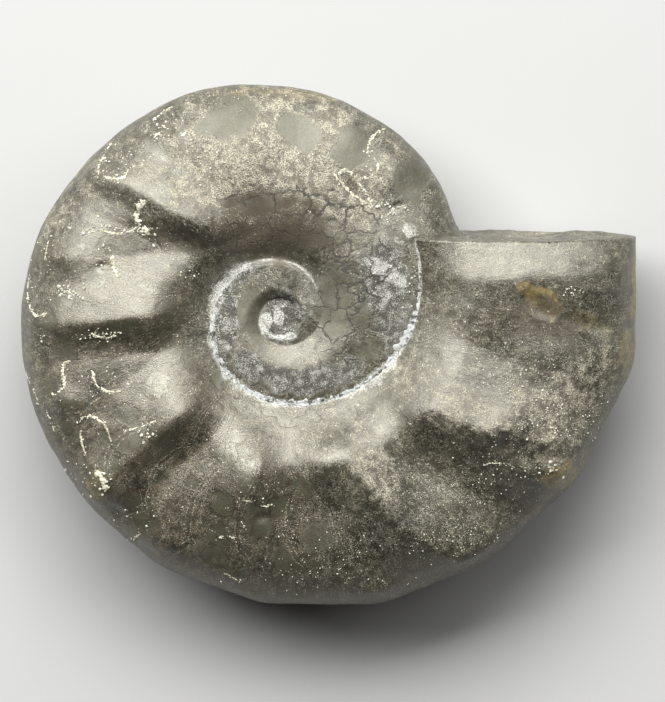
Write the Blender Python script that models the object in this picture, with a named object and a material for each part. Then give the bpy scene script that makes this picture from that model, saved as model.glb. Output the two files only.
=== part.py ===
# Ceratites compressus: the stone filling of a coiled shell, lying on its flank.
# It is one closed solid. +Z is up, and the open end of the last whorl points to +Y at the right.
#
# The coil is described by a growth angle in degrees, which starts near the middle and runs
# counterclockwise seen from above, 360 degrees for each whorl. A whorl's surface runs from the
# umbilical seam over a rounded shoulder and a ribbed flank to the rim, which is the edge of the
# coil halfway up, and from there back underneath.

import math

import bmesh
import bpy

MM = 0.001

# Growth angle in degrees, then in mm: seam radius, shoulder radius, half thickness
# above and below the coil's plane.
WHORL = [
    (-420, 0.0, 2.0, 5.6, 3.9),
    (-330, 0.0, 3.0, 5.9, 4.3),
    (-240, 0.0, 4.2, 6.1, 4.9),
    (-150, 0.0, 5.4, 6.3, 5.5),
    (-60, 0.0, 7.2, 6.7, 6.3),
    (30, 5.6, 11.4, 7.4, 7.5),
    (120, 7.9, 15.8, 8.3, 9.4),
    (210, 9.9, 17.6, 9.1, 10.0),
    (300, 12.2, 20.4, 9.9, 10.3),
    (390, 19.9, 27.0, 10.9, 10.6),
]
SEAM, SHOULDER, ABOVE, BELOW = 1, 2, 3, 4
CENTRE_HEIGHT = 5.0
SPIRAL_START = -420.0

# The outer nodes along the rim of the last whorl: growth angle in degrees, radius in mm.
# Between two of them the rim is a straight chord near the open end and rounder before.
RIM_NODES = [
    (27, 25.3),
    (48, 27.4),
    (70, 28.7),
    (91, 30.0),
    (113, 31.4),
    (135, 32.1),
    (156, 33.3),
    (178, 34.2),
    (200, 34.8),
    (222, 35.5),
    (244, 36.7),
    (266, 37.9),
    (288, 40.1),
    (309, 42.2),
    (331, 44.2),
    (352, 46.5),
    (374, 47.6),
    (395, 48.4),
]
CHORD_FROM = 200.0
CHORD_FULL = 290.0
CHORD_DEPTH = 1.15
CORNER_SOFTENING = 3.0
WHORL_GROWTH = 1.85

# The flank falls by this share of its height towards the rim, then turns over at the edge.
# The powers set how the fall begins, how squarely the flank turns over, how round the wall
# at the seam is, and how quickly the ribs rise out of that wall.
FLANK_FALL = 0.16
FALL_POWER = 1.5
EDGE_POWER = 3.6
WALL_POWER = 1.6
RELIEF_WALL_POWER = 1.5

# The open end is a straight break, this far from the middle of the coil.
BREAK_Y = 10.3

# Ribs: crest points as (radius mm, growth angle, height mm), then the width of the side
# towards the open end, the width of the side towards the middle of the coil, and the
# sharpness of the crest.
RIBS = [
    ([(18.5, 380, 0.0), (26.0, 372, 0.7), (37.7, 369, 1.0), (43.9, 368, 0.8)], 6.0, 7.0, 1.3),
    ([(15.6, 328, 0.0), (19.3, 327.4, 1.6), (23.5, 330, 2.8), (29.0, 331, 3.0),
      (37.2, 334, 2.2), (43.6, 337, 1.2)], 9.5, 8.5, 1.3),
    ([(13.7, 293.4, 0.3), (18.5, 296.2, 1.9), (23.5, 298, 2.4), (30.2, 299.3, 2.1),
      (35.7, 302.8, 1.6), (40.9, 308.8, 1.2)], 7.5, 6.0, 1.3),
    ([(12.6, 250, 0.0), (15.8, 258, 1.2), (19.6, 260.8, 1.9), (24.3, 260, 1.0),
      (31.5, 261, 0.0)], 4.0, 6.5, 1.3),
    ([(10.6, 215, 0.0), (14.9, 220.8, 2.0), (18.9, 222.5, 2.8), (23.0, 222.3, 2.0),
      (28.5, 222.8, 1.4), (33.5, 224, 1.4)], 4.5, 7.5, 1.3),
    ([(10.4, 164.7, 0.3), (12.9, 171.3, 1.1), (16.0, 176.7, 2.0), (19.9, 178.5, 2.5),
      (24.1, 180.3, 1.9), (32.9, 182, 1.2)], 4.4, 8.0, 1.35),
    ([(11.8, 124, 0.0), (15.4, 131, 1.6), (18.9, 134, 2.2), (22.9, 136.6, 1.8),
      (30.2, 142, 1.3), (32.6, 144, 0.9)], 4.6, 5.5, 1.3),
    ([(23.8, 161.2, 0.0), (28.9, 163.5, 0.9), (32.2, 165, 0.5)], 3.2, 5.0, 1.3),
    ([(24.2, 120, 0.0), (27.6, 120.5, 0.7), (31.2, 120.8, 0.5)], 2.6, 4.0, 1.3),
]
CREST_ROUNDING = 0.6
RIB_END_FADE = 2.0

# Nodes and hollows of the flank: x, y, height, half length and half width in mm, turn in degrees.
NODES_AND_HOLLOWS = [
    (4.8, -18.3, 1.4, 3.9, 4.2, 0),
    (-5.1, -21.4, 1.2, 3.6, 4.7, 0),
    (-5.2, 20.9, 1.0, 3.4, 4.4, 0),
    (9.0, 23.5, 0.6, 2.6, 2.6, 0),
    (15.9, 19.4, 0.7, 2.3, 2.6, 0),
    (44.5, -4.0, 1.0, 2.9, 3.4, 0),
    (36.0, -20.4, 1.6, 3.2, 2.8, -20),
    (25.4, -31.1, 0.9, 3.4, 2.6, 0),
    (12.0, -36.0, 0.9, 2.9, 2.1, 0),
    (-16.0, -29.5, 1.0, 2.6, 2.1, 0),
    (-24.4, -20.9, 0.8, 2.9, 3.1, 0),
    (-28.7, -10.8, 0.8, 2.9, 2.1, 0),
    (22.4, -18.3, -0.9, 6.0, 3.4, -28),
    (17.8, -20.7, -0.5, 5.2, 6.5, 0),
    (36.0, -1.2, -0.6, 6.5, 3.6, -30),
    (-12.7, 9.8, -0.8, 3.1, 2.3, -10),
    (-4.5, 12.9, -0.7, 2.9, 3.9, 0),
    (-21.4, 15.7, -0.6, 3.1, 1.8, -10),
    (-26.4, -3.2, -0.5, 7.8, 1.6, 0),
    (-14.0, -17.4, -0.6, 3.9, 3.4, 0),
    (30.0, 12.0, -1.6, 18.0, 5.2, 0),
    (30.6, -17.0, -0.8, 2.6, 1.5, -15),
    (34.7, -17.6, -0.6, 2.8, 1.2, 0),
    (28.5, -13.0, 0.7, 2.2, 3.0, -60),
    (30.5, -24.5, -0.8, 4.5, 2.6, -30),
]
RELIEF_START = 33.0
RELIEF_FULL = 55.0
RIM_FADE = 0.10

# Underneath, the same ribs stand a little further round, and they are worn flat at this
# depth, where the stone rests.
UNDER_SHIFT = 5.0
UNDER_SHARE = 1.15
UNDER_FADE = 30.0
REST_DEPTH = 10.9

# Mesh divisions, and how often a point's place is worked out again until it settles
COLUMNS_PER_WHORL = 72
ROWS_TO_OVERLAP_ABOVE = 10
ROWS_TO_OVERLAP_BELOW = 7
ROWS_OVER_RIM_ABOVE = 8
ROWS_OVER_RIM_BELOW = 6
WELD = 0.000002
SETTLING_ROUNDS = 30
SHARP_ANGLE = 40


def along(points, column, at):
    """A smooth curve through points, read at one place."""
    last = len(points) - 1
    at = min(max(at, points[0][0]), points[last][0])
    i = 0
    while i < last - 1 and at >= points[i + 1][0]:
        i += 1

    def slope(j):
        a = points[max(j - 1, 0)]
        b = points[min(j + 1, last)]
        return (b[column] - a[column]) / (b[0] - a[0])

    start, end = points[i], points[i + 1]
    span = end[0] - start[0]
    t = (at - start[0]) / span
    return (
        (2 * t**3 - 3 * t**2 + 1) * start[column]
        + (t**3 - 2 * t**2 + t) * span * slope(i)
        + (3 * t**2 - 2 * t**3) * end[column]
        + (t**3 - t**2) * span * slope(i + 1)
    )


def ease(t):
    t = min(max(t, 0.0), 1.0)
    return t * t * (3 - 2 * t)


def chord_radius(angle):
    """Radius of the rim, drawn as chords between its nodes."""
    last = len(RIM_NODES) - 1
    angle = min(max(angle, RIM_NODES[0][0]), RIM_NODES[last][0])
    i = 0
    while i < last - 1 and angle >= RIM_NODES[i + 1][0]:
        i += 1
    (a0, r0), (a1, r1) = RIM_NODES[i], RIM_NODES[i + 1]
    arc = r0 + (r1 - r0) * (angle - a0) / (a1 - a0)
    chord = math.sin(math.radians(a1 - a0)) / (
        math.sin(math.radians(a1 - angle)) / r0 + math.sin(math.radians(angle - a0)) / r1
    )
    straight = min(max((angle - CHORD_FROM) / (CHORD_FULL - CHORD_FROM), 0.0), 1.0)
    return arc + (chord - arc) * straight * CHORD_DEPTH


def rim_radius(angle):
    """Outer radius of a whorl; the hidden earlier whorls are the last one made smaller."""
    scale = 1.0
    while angle < RIM_NODES[0][0]:
        angle += 360
        scale /= WHORL_GROWTH
    steps = (-1.0, -0.5, 0.0, 0.5, 1.0)
    return scale * sum(chord_radius(angle + CORNER_SOFTENING * s) for s in steps) / len(steps)


def seam_radius(angle):
    return max(along(WHORL, SEAM, angle), 0.0)


def seam_height(angle, side):
    """A whorl's seam lies on the flank of the whorl before it."""
    if angle <= SPIRAL_START + 360:
        return CENTRE_HEIGHT
    return flank_height(angle - 360, seam_radius(angle), side)


def across(angle, radius):
    """Where a radius lies between the shoulder, 0, and the rim, 1."""
    shoulder = along(WHORL, SHOULDER, angle)
    return min(max((radius - shoulder) / (rim_radius(angle) - shoulder), 0.0), 1.0)


def up_wall(angle, radius):
    """Where a radius lies between the seam, 0, and the shoulder, 1."""
    seam = seam_radius(angle)
    return min(max((radius - seam) / (along(WHORL, SHOULDER, angle) - seam), 0.0), 1.0)


def flank_height(angle, radius, side):
    """Height of the smooth flank over the coil's plane."""
    v = across(angle, radius)
    crown = along(WHORL, side, angle)
    crown *= (1 - FLANK_FALL * v**FALL_POWER) * math.sqrt(max(1 - v**EDGE_POWER, 0.0))
    wall = 1 - (1 - up_wall(angle, radius)) ** WALL_POWER
    base = seam_height(angle, side)
    return base + (crown - base) * wall


def rib_height(rib, angle, radius):
    """Height of one rib over the flank."""
    crest, width_ahead, width_behind, power = rib
    inner, outer = crest[0][0], crest[-1][0]
    beyond = max(inner - radius, radius - outer, 0.0)
    height = max(along(crest, 2, radius), 0.0) * math.exp(-((beyond / RIB_END_FADE) ** 2))
    offset = math.radians(angle - along(crest, 1, radius)) * radius
    width = width_ahead if offset > 0 else width_behind
    distance = math.hypot(offset, CREST_ROUNDING) - CREST_ROUNDING
    return height * max(1 - distance / width, 0.0) ** power


def node_height(node, angle, radius):
    """Height of one node, or depth of one hollow, over the flank."""
    x, y, height, length, width, turn = node
    dx = radius * math.cos(math.radians(angle)) - x
    dy = radius * math.sin(math.radians(angle)) - y
    c, s = math.cos(math.radians(turn)), math.sin(math.radians(turn))
    along_node = (dx * c + dy * s) / length
    across_node = (dy * c - dx * s) / width
    return height * math.exp(-(along_node**2) - across_node**2)


def relief(angle, radius):
    """Ribs, nodes and hollows of the last whorl."""
    if angle <= RELIEF_START:
        return 0.0
    height = sum(rib_height(rib, angle, radius) for rib in RIBS)
    height += sum(node_height(node, angle, radius) for node in NODES_AND_HOLLOWS)
    height *= 1 - (1 - up_wall(angle, radius)) ** RELIEF_WALL_POWER
    height *= ease((1 - across(angle, radius)) / RIM_FADE)
    return height * ease((angle - RELIEF_START) / (RELIEF_FULL - RELIEF_START))


def break_radius():
    """Radius at which the seam meets the break."""
    radius = WHORL[-1][SEAM]
    for _ in range(SETTLING_ROUNDS):
        radius = seam_radius(360 + math.degrees(math.asin(BREAK_Y / radius)))
    return radius


BREAK_SEAM = break_radius()
LAST_ANGLE = 360 + math.degrees(math.asin(BREAK_Y / BREAK_SEAM))
FIRST_ANGLE = LAST_ANGLE - 360
OVERLAP = (BREAK_SEAM - seam_radius(FIRST_ANGLE)) / (rim_radius(FIRST_ANGLE) - seam_radius(FIRST_ANGLE))


def lean(radius):
    """How far a column leans back beyond the seam, so that the last one lies in the break."""
    radius = max(radius, BREAK_SEAM)
    return math.degrees(math.asin(BREAK_Y / radius) - math.asin(BREAK_Y / BREAK_SEAM))


def settle(column_angle, radius_at):
    """Growth angle and radius of a point whose radius depends on its growth angle."""
    angle = column_angle
    for _ in range(SETTLING_ROUNDS):
        radius = radius_at(angle)
        angle = column_angle + lean(radius)
    return angle, radius_at(angle)


def inner_point(column_angle, row, side):
    """A point between a whorl's seam, row 0, and where the next whorl covers it, row 1."""
    def radius_at(angle):
        seam = seam_radius(angle)
        if column_angle > FIRST_ANGLE:
            return seam + row * OVERLAP * (rim_radius(angle) - seam)
        return seam + row * (seam_radius(angle + 360) - seam)

    angle, radius = settle(column_angle, radius_at)
    return angle, radius, flank_height(angle, radius, side) + relief_at(angle, radius, side)


def outer_point(column_angle, row, side):
    """A point of the last whorl between the overlap, row 0, and the rim, row 1."""
    def radius_at(angle):
        seam = seam_radius(angle)
        rim = rim_radius(angle)
        shoulder = along(WHORL, SHOULDER, angle)
        start = (seam + OVERLAP * (rim - seam) - shoulder) / (rim - shoulder)
        swing = math.asin(start ** (EDGE_POWER / 2))
        swing += row * (math.pi / 2 - swing)
        return shoulder + (rim - shoulder) * math.sin(swing) ** (2 / EDGE_POWER)

    angle, radius = settle(column_angle, radius_at)
    if row == 1:
        return angle, radius, 0.0
    return angle, radius, flank_height(angle, radius, side) + relief_at(angle, radius, side)


def relief_at(angle, radius, side):
    """Relief of one side; underneath it fades out before the break."""
    if side == ABOVE:
        return relief(angle, radius)
    return UNDER_SHARE * relief(angle + UNDER_SHIFT, radius) * ease((LAST_ANGLE - angle) / UNDER_FADE)


def add_strip(bm, point, first, columns, rows, side):
    """Lay a flat grid along the coil: its length follows the whorl, its width goes outwards."""
    grid = bmesh.ops.create_grid(bm, x_segments=columns, y_segments=rows, size=1.0)
    step = 360 / COLUMNS_PER_WHORL
    for vert in grid["verts"]:
        column = round((vert.co.x + 1) / 2 * columns)
        row = round((vert.co.y + 1) / 2 * rows)
        angle, radius, height = point(first + column * step, row / rows, side)
        height = height if side == ABOVE else -min(height, REST_DEPTH)
        vert.co = (
            radius * math.cos(math.radians(angle)) * MM,
            radius * math.sin(math.radians(angle)) * MM,
            height * MM,
        )


def close_break(bm):
    """Fill the flat break at the open end of the last whorl."""
    edges = [edge for edge in bm.edges if edge.is_boundary]
    face = bmesh.ops.contextual_create(bm, geom=edges)["faces"]
    bmesh.ops.triangulate(bm, faces=face)


def stand_on_origin(bm):
    """Move the middle of the underside's box to the origin."""
    low = [min(vert.co[axis] for vert in bm.verts) for axis in range(3)]
    high = [max(vert.co[axis] for vert in bm.verts) for axis in range(3)]
    shift = (-(low[0] + high[0]) / 2, -(low[1] + high[1]) / 2, -low[2])
    bmesh.ops.translate(bm, verts=bm.verts, vec=shift)


def limestone():
    material = bpy.data.materials.new("dark_limestone")
    material.use_nodes = True
    shader = material.node_tree.nodes["Principled BSDF"]
    shader.inputs["Base Color"].default_value = (0.20, 0.18, 0.14, 1.0)
    shader.inputs["Roughness"].default_value = 0.45
    shader.inputs["Metallic"].default_value = 0.0
    return material


def make_ammonite():
    bm = bmesh.new()
    whorls = (LAST_ANGLE - SPIRAL_START) / 360
    columns = round(whorls * COLUMNS_PER_WHORL)
    start = LAST_ANGLE - columns * 360 / COLUMNS_PER_WHORL
    add_strip(bm, inner_point, start, columns, ROWS_TO_OVERLAP_ABOVE, ABOVE)
    add_strip(bm, inner_point, start, columns, ROWS_TO_OVERLAP_BELOW, BELOW)
    add_strip(bm, outer_point, FIRST_ANGLE, COLUMNS_PER_WHORL, ROWS_OVER_RIM_ABOVE, ABOVE)
    add_strip(bm, outer_point, FIRST_ANGLE, COLUMNS_PER_WHORL, ROWS_OVER_RIM_BELOW, BELOW)
    bmesh.ops.remove_doubles(bm, verts=bm.verts, dist=WELD)
    close_break(bm)
    bmesh.ops.recalc_face_normals(bm, faces=bm.faces)
    stand_on_origin(bm)
    mesh = bpy.data.meshes.new("ammonite")
    bm.to_mesh(mesh)
    bm.free()
    mesh.shade_smooth()
    mesh.set_sharp_from_angle(angle=math.radians(SHARP_ANGLE))
    mesh.materials.append(limestone())
    fossil = bpy.data.objects.new("ammonite", mesh)
    bpy.context.scene.collection.objects.link(fossil)


for leftover in list(bpy.data.objects):
    bpy.data.objects.remove(leftover, do_unlink=True)
make_ammonite()
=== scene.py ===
# The fossil's fine surface, its calcite, and the studio around it.
# All is built in mm from the middle of the coil and then moved onto the solid. A growth angle in
# degrees runs along the coil, 360 for each whorl, counterclockwise seen from above.

import math
import random
from functools import partialmethod

import bmesh
import bpy
import numpy as np
from mathutils import Euler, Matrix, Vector, noise
from mathutils.bvhtree import BVHTree
from mathutils.kdtree import KDTree


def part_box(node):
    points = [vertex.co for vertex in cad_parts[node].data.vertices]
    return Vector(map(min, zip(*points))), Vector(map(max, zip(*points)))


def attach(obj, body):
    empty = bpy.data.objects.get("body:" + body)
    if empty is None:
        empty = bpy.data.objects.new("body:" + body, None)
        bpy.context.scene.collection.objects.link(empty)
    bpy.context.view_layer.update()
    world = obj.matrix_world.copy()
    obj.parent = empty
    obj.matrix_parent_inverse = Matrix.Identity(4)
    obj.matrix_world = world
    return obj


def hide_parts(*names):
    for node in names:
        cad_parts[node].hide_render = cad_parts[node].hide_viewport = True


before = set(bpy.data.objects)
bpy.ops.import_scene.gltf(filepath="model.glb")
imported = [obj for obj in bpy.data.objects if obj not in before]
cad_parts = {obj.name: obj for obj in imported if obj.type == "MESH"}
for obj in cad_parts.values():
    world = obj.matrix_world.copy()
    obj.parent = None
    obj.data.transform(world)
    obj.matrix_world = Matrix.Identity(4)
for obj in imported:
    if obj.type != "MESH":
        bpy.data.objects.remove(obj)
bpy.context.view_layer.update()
mm = 0.001
print("frame loaded")


# Places.

photo = {
    "width": 665,
    "height": 702,
    "coilMiddle": (283, 318),  # the pixel that the middle of the coil is seen at
    "mmPerPixel": 0.13,
    "tilt": 5.0,  # degrees that the camera leans towards the break
    "focusHeight": 5.0,  # mm over the coil's plane where those pixels hold
}
tiltSine = math.sin(math.radians(photo["tilt"]))
tiltCosine = math.cos(math.radians(photo["tilt"]))


def pixelsOf(points):  # where points given in mm are seen in the photo
    x = photo["coilMiddle"][0] + points[:, 0] / photo["mmPerPixel"]
    up = points[:, 1] * tiltCosine - (points[:, 2] - photo["focusHeight"]) * tiltSine
    return x, photo["coilMiddle"][1] - up / photo["mmPerPixel"]


def placeOf(x, y, height):  # the point at that height, in mm, which is seen at a pixel
    up = (photo["coilMiddle"][1] - y) * photo["mmPerPixel"]
    across = (x - photo["coilMiddle"][0]) * photo["mmPerPixel"]
    return across, (up + (height - photo["focusHeight"]) * tiltSine) / tiltCosine


# The coil.

coil = {
    # growth angle; then in mm: seam radius, shoulder radius, half thickness above and below
    "whorl": [
        (-600, 0, 0.3, 5, 3),
        (-510, 0.55, 1.1, 5.3, 3.5),
        (-420, 1.2, 2, 5.6, 3.9),
        (-330, 2, 3, 5.9, 4.3),
        (-240, 2.8, 4.2, 6.1, 4.9),
        (-150, 3.25, 5.4, 6.3, 5.5),
        (-60, 3.8, 7.2, 6.7, 6.3),
        (30, 5.6, 11.4, 7.4, 7.5),
        (120, 7.9, 15.8, 8.3, 9.4),
        (210, 9.9, 17.6, 9.1, 10),
        (300, 12.2, 20.4, 9.9, 10.3),
        (390, 19.9, 27, 10.9, 10.6),
    ],
    "start": -600.0,
    "centreHeight": 4.8,
    "eye": 0.06,
    # growth angle and radius of the outer nodes along the rim
    "rimNodes": [
        (27, 25.3), (48, 27.4), (70, 28.7), (91, 30.0), (113, 31.4), (135, 32.1),
        (156, 33.3), (178, 34.2), (200, 34.8), (222, 35.5), (244, 36.7), (266, 37.9),
        (288, 40.1), (309, 42.2), (331, 44.2), (352, 46.5), (374, 47.6), (395, 48.4),
    ],
    "chordFrom": 200.0,
    "chordFull": 290.0,
    "chordDepth": 1.15,
    "cornerSoftening": 3.0,
    "growth": 1.85,
    "flankFall": 0.16,
    "fallPower": 1.5,
    "edgePower": 3.6,
    "wallPower": 1.6,
    "breakY": 10.3,
}
seamColumn, shoulderColumn, above, below = 1, 2, 3, 4


def along(points, column, at):  # a smooth curve through points, read at many places
    x, y = np.array(points, float).T[[0, column]]
    slope = np.empty_like(y)
    slope[1:-1] = (y[2:] - y[:-2]) / (x[2:] - x[:-2])
    slope[0] = (y[1] - y[0]) / (x[1] - x[0])
    slope[-1] = (y[-1] - y[-2]) / (x[-1] - x[-2])
    at = np.clip(at, x[0], x[-1])
    i = np.clip(np.searchsorted(x, at, side="right") - 1, 0, len(x) - 2)
    span = x[i + 1] - x[i]
    t = (at - x[i]) / span
    start = (2 * t**3 - 3 * t**2 + 1) * y[i] + (t**3 - 2 * t**2 + t) * span * slope[i]
    end = (3 * t**2 - 2 * t**3) * y[i + 1] + (t**3 - t**2) * span * slope[i + 1]
    return start + end


def flatPlace(angle, radius):
    return radius * np.cos(np.radians(angle)), radius * np.sin(np.radians(angle))


def polar(points):
    angle = np.degrees(np.arctan2(points[:, 1], points[:, 0])) % 360
    return angle, np.hypot(points[:, 0], points[:, 1])


def within(x, y, ellipse):  # along and across an ellipse, in its own half sizes
    left, up, length, width, turn = ellipse
    c, s = math.cos(math.radians(turn)), math.sin(math.radians(turn))
    return ((x - left) * c + (y - up) * s) / length, ((y - up) * c - (x - left) * s) / width


def shareOf(value, low, high):
    return np.clip((value - low) / (high - low), 0, 1)


def ease(t):
    t = np.clip(t, 0, 1)
    return t * t * (3 - 2 * t)


def chordRadius(angle):  # the rim, drawn as chords between its nodes
    a, r = np.array(coil["rimNodes"], float).T
    angle = np.clip(angle, a[0], a[-1])
    i = np.clip(np.searchsorted(a, angle, side="right") - 1, 0, len(a) - 2)
    arc = r[i] + (r[i + 1] - r[i]) * (angle - a[i]) / (a[i + 1] - a[i])
    ahead = np.sin(np.radians(a[i + 1] - angle)) / r[i]
    behind = np.sin(np.radians(angle - a[i])) / r[i + 1]
    chord = np.sin(np.radians(a[i + 1] - a[i])) / (ahead + behind)
    straight = shareOf(angle, coil["chordFrom"], coil["chordFull"])
    return arc + (chord - arc) * straight * coil["chordDepth"]


def rimRadius(angle):
    angle = np.array(angle, float)
    scale = np.ones_like(angle)
    for _ in range(3):
        early = angle < coil["rimNodes"][0][0]
        angle = np.where(early, angle + 360, angle)
        scale = np.where(early, scale / coil["growth"], scale)
    steps = (-1.0, -0.5, 0.0, 0.5, 1.0)
    return scale * sum(chordRadius(angle + coil["cornerSoftening"] * s) for s in steps) / len(steps)


def seamRadius(angle):  # the coil's very start is a point
    radius = along(coil["whorl"], seamColumn, angle)
    return np.where(radius < coil["eye"], 0, radius)


def shoulderRadius(angle):
    return along(coil["whorl"], shoulderColumn, angle)


def seamHeight(angle, side):  # a whorl's seam lies on the flank of the whorl before it
    covered = angle > coil["start"]
    if not covered.any():
        return np.full_like(angle, coil["centreHeight"])
    return np.where(covered, flankHeight(angle - 360, seamRadius(angle), side), coil["centreHeight"])


def across(angle, radius):  # 0 at the shoulder, 1 at the rim
    return shareOf(radius, shoulderRadius(angle), rimRadius(angle))


def upWall(angle, radius):  # 0 at the seam, 1 at the shoulder
    return shareOf(radius, seamRadius(angle), shoulderRadius(angle))


def flankHeight(angle, radius, side):
    v = across(angle, radius)
    edge = np.sqrt(np.maximum(1 - v ** coil["edgePower"], 0))
    crown = along(coil["whorl"], side, angle) * (1 - coil["flankFall"] * v ** coil["fallPower"]) * edge
    wall = 1 - (1 - upWall(angle, radius)) ** coil["wallPower"]
    base = seamHeight(angle, side)
    return base + (crown - base) * wall


# Ribs, nodes and hollows.

relief = {
    # crest as (radius, growth angle, height), then width ahead, width behind and sharpness
    "ribs": [
        ([(18.5, 380, 0), (26, 372, 0.7), (37.7, 369, 1), (43.9, 368, 0.8)], 6, 7, 1.3),
        ([(15.6, 328, 0), (19.3, 327.4, 1.6), (23.5, 330, 2.8), (29, 331, 3),
          (37.2, 334, 2.2), (43.6, 337, 1.2)], 9.5, 8.5, 1.3),
        ([(13.7, 293.4, 0.3), (18.5, 296.2, 1.9), (23.5, 298, 2.4), (30.2, 299.3, 2.1),
          (35.7, 302.8, 1.6), (40.9, 308.8, 1.2)], 7.5, 6, 1.3),
        ([(12.6, 250, 0), (15.8, 258, 1.2), (19.6, 260.8, 1.9), (24.3, 260, 1),
          (31.5, 261, 0)], 4, 6.5, 1.3),
        ([(10.6, 215, 0), (14.9, 220.8, 2), (18.9, 222.5, 2.8), (23, 222.3, 2),
          (28.5, 222.8, 1.4), (33.5, 224, 1.4)], 4.5, 7.5, 1.3),
        ([(10.4, 164.7, 0.3), (12.9, 171.3, 1.1), (16, 176.7, 2), (19.9, 178.5, 2.5),
          (24.1, 180.3, 1.9), (32.9, 182, 1.2)], 4.4, 8, 1.35),
        ([(11.8, 124, 0), (15.4, 131, 1.6), (18.9, 134, 2.2), (22.9, 136.6, 1.8),
          (30.2, 142, 1.3), (32.6, 144, 0.9)], 4.6, 5.5, 1.3),
        ([(23.8, 161.2, 0), (28.9, 163.5, 0.9), (32.2, 165, 0.5)], 3.2, 5, 1.3),
        ([(24.2, 120, 0), (27.6, 120.5, 0.7), (31.2, 120.8, 0.5)], 2.6, 4, 1.3),
    ],
    "crestRounding": 0.6,
    "ribEndFade": 2.0,
    # x, y, half length, half width in mm, turn in degrees, height
    "lumps": [
        (4.8, -18.3, 3.9, 4.2, 0, 1.4), (-5.1, -21.4, 3.6, 4.7, 0, 1.2), (-5.2, 20.9, 3.4, 4.4, 0, 1),
        (9, 23.5, 2.6, 2.6, 0, 0.6), (15.9, 19.4, 2.3, 2.6, 0, 0.7), (44.5, -4, 2.9, 3.4, 0, 1),
        (36, -20.4, 3.2, 2.8, -20, 1.6), (25.4, -31.1, 3.4, 2.6, 0, 0.9), (12, -36, 2.9, 2.1, 0, 0.9),
        (-16, -29.5, 2.6, 2.1, 0, 1), (-24.4, -20.9, 2.9, 3.1, 0, 0.8),
        (-28.7, -10.8, 2.9, 2.1, 0, 0.8), (22.4, -18.3, 6, 3.4, -28, -0.9),
        (17.8, -20.7, 5.2, 6.5, 0, -0.5), (36, -1.2, 6.5, 3.6, -30, -0.6),
        (-12.7, 9.8, 3.1, 2.3, -10, -0.8), (-4.5, 12.9, 2.9, 3.9, 0, -0.7),
        (-21.4, 15.7, 3.1, 1.8, -10, -0.6), (-26.4, -3.2, 7.8, 1.6, 0, -0.5),
        (-14, -17.4, 3.9, 3.4, 0, -0.6), (30, 12, 18, 5.2, 0, -1.6), (30.6, -17, 2.6, 1.5, -15, -0.8),
        (34.7, -17.6, 2.8, 1.2, 0, -0.6), (28.5, -13, 2.2, 3, -60, 0.7),
        (30.5, -24.5, 4.5, 2.6, -30, -0.8),
    ],
    "start": 33.0,
    "full": 55.0,
    "rimFade": 0.10,
    "wallPower": 1.5,
    "underShift": 5.0,
    "underShare": 1.15,
    "underFade": 30.0,
    "restDepth": 10.9,
}


def ribHeight(rib, angle, radius):
    crest, ahead, behind, power = rib
    beyond = np.maximum(np.maximum(crest[0][0] - radius, radius - crest[-1][0]), 0)
    height = np.maximum(along(crest, 2, radius), 0) * np.exp(-((beyond / relief["ribEndFade"]) ** 2))
    offset = np.radians(angle - along(crest, 1, radius)) * radius
    width = np.where(offset > 0, ahead, behind)
    distance = np.hypot(offset, relief["crestRounding"]) - relief["crestRounding"]
    return height * np.clip(1 - distance / width, 0, 1) ** power


def lumpHeight(lump, x, y):
    *ellipse, height = lump
    u, v = within(x, y, ellipse)
    return height * np.exp(-(u**2) - v**2)


def reliefHeight(angle, radius):
    x, y = flatPlace(angle, radius)
    height = sum(ribHeight(rib, angle, radius) for rib in relief["ribs"])
    height = height + sum(lumpHeight(lump, x, y) for lump in relief["lumps"])
    height = height * (1 - (1 - upWall(angle, radius)) ** relief["wallPower"])
    height = height * ease((1 - across(angle, radius)) / relief["rimFade"])
    return height * ease(shareOf(angle, relief["start"], relief["full"]))


def surfaceHeight(angle, radius, side):
    smooth = flankHeight(angle, radius, side)
    if side == above:
        return smooth + reliefHeight(angle, radius)
    faded = ease((lastAngle - angle) / relief["underFade"])
    return smooth + relief["underShare"] * reliefHeight(angle + relief["underShift"], radius) * faded


# The mesh of the stone.

divisions = {
    "columns": 576,  # along the last whorl above; the underside and the earlier whorls have half
    "rowsToOverlap": 64,
    "rowsOverRim": 26,
    "rowsToOverlapBelow": 20,
    "rowsOverRimBelow": 12,
    "weld": 0.0001,  # mm
    "settlingRounds": 30,
    "breakCell": 0.5,  # mm between the cuts across the break
}


def breakRadius():  # where the seam meets the break
    radius = np.array([coil["whorl"][-1][seamColumn]])
    for _ in range(divisions["settlingRounds"]):
        radius = seamRadius(360 + np.degrees(np.arcsin(coil["breakY"] / radius)))
    return float(radius[0])


breakSeam = breakRadius()
breakLean = math.degrees(math.asin(coil["breakY"] / breakSeam))
lastAngle = 360 + breakLean
firstAngle = breakLean
firstSeam = float(seamRadius(np.array([firstAngle]))[0])
overlap = (breakSeam - firstSeam) / (float(rimRadius([firstAngle])[0]) - firstSeam)


def settle(columnAngle, radiusAt):  # columns lean back, so that the last one lies in the break
    angle = columnAngle
    for _ in range(divisions["settlingRounds"]):
        reach = np.maximum(radiusAt(angle), breakSeam)
        angle = columnAngle + np.degrees(np.arcsin(coil["breakY"] / reach)) - breakLean
    return angle, radiusAt(angle)


def earlierSpot(columnAngle, row):  # row 0 is a whorl's seam, row 1 is the seam of the next whorl
    seam = seamRadius(columnAngle)
    return columnAngle, seam + row * (seamRadius(columnAngle + 360) - seam)


def innerSpot(columnAngle, row):  # of the last whorl: row 0 is the seam, row 1 the overlap
    def radiusAt(angle):
        seam = seamRadius(angle)
        return seam + row * overlap * (rimRadius(angle) - seam)

    return settle(columnAngle, radiusAt)


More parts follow.
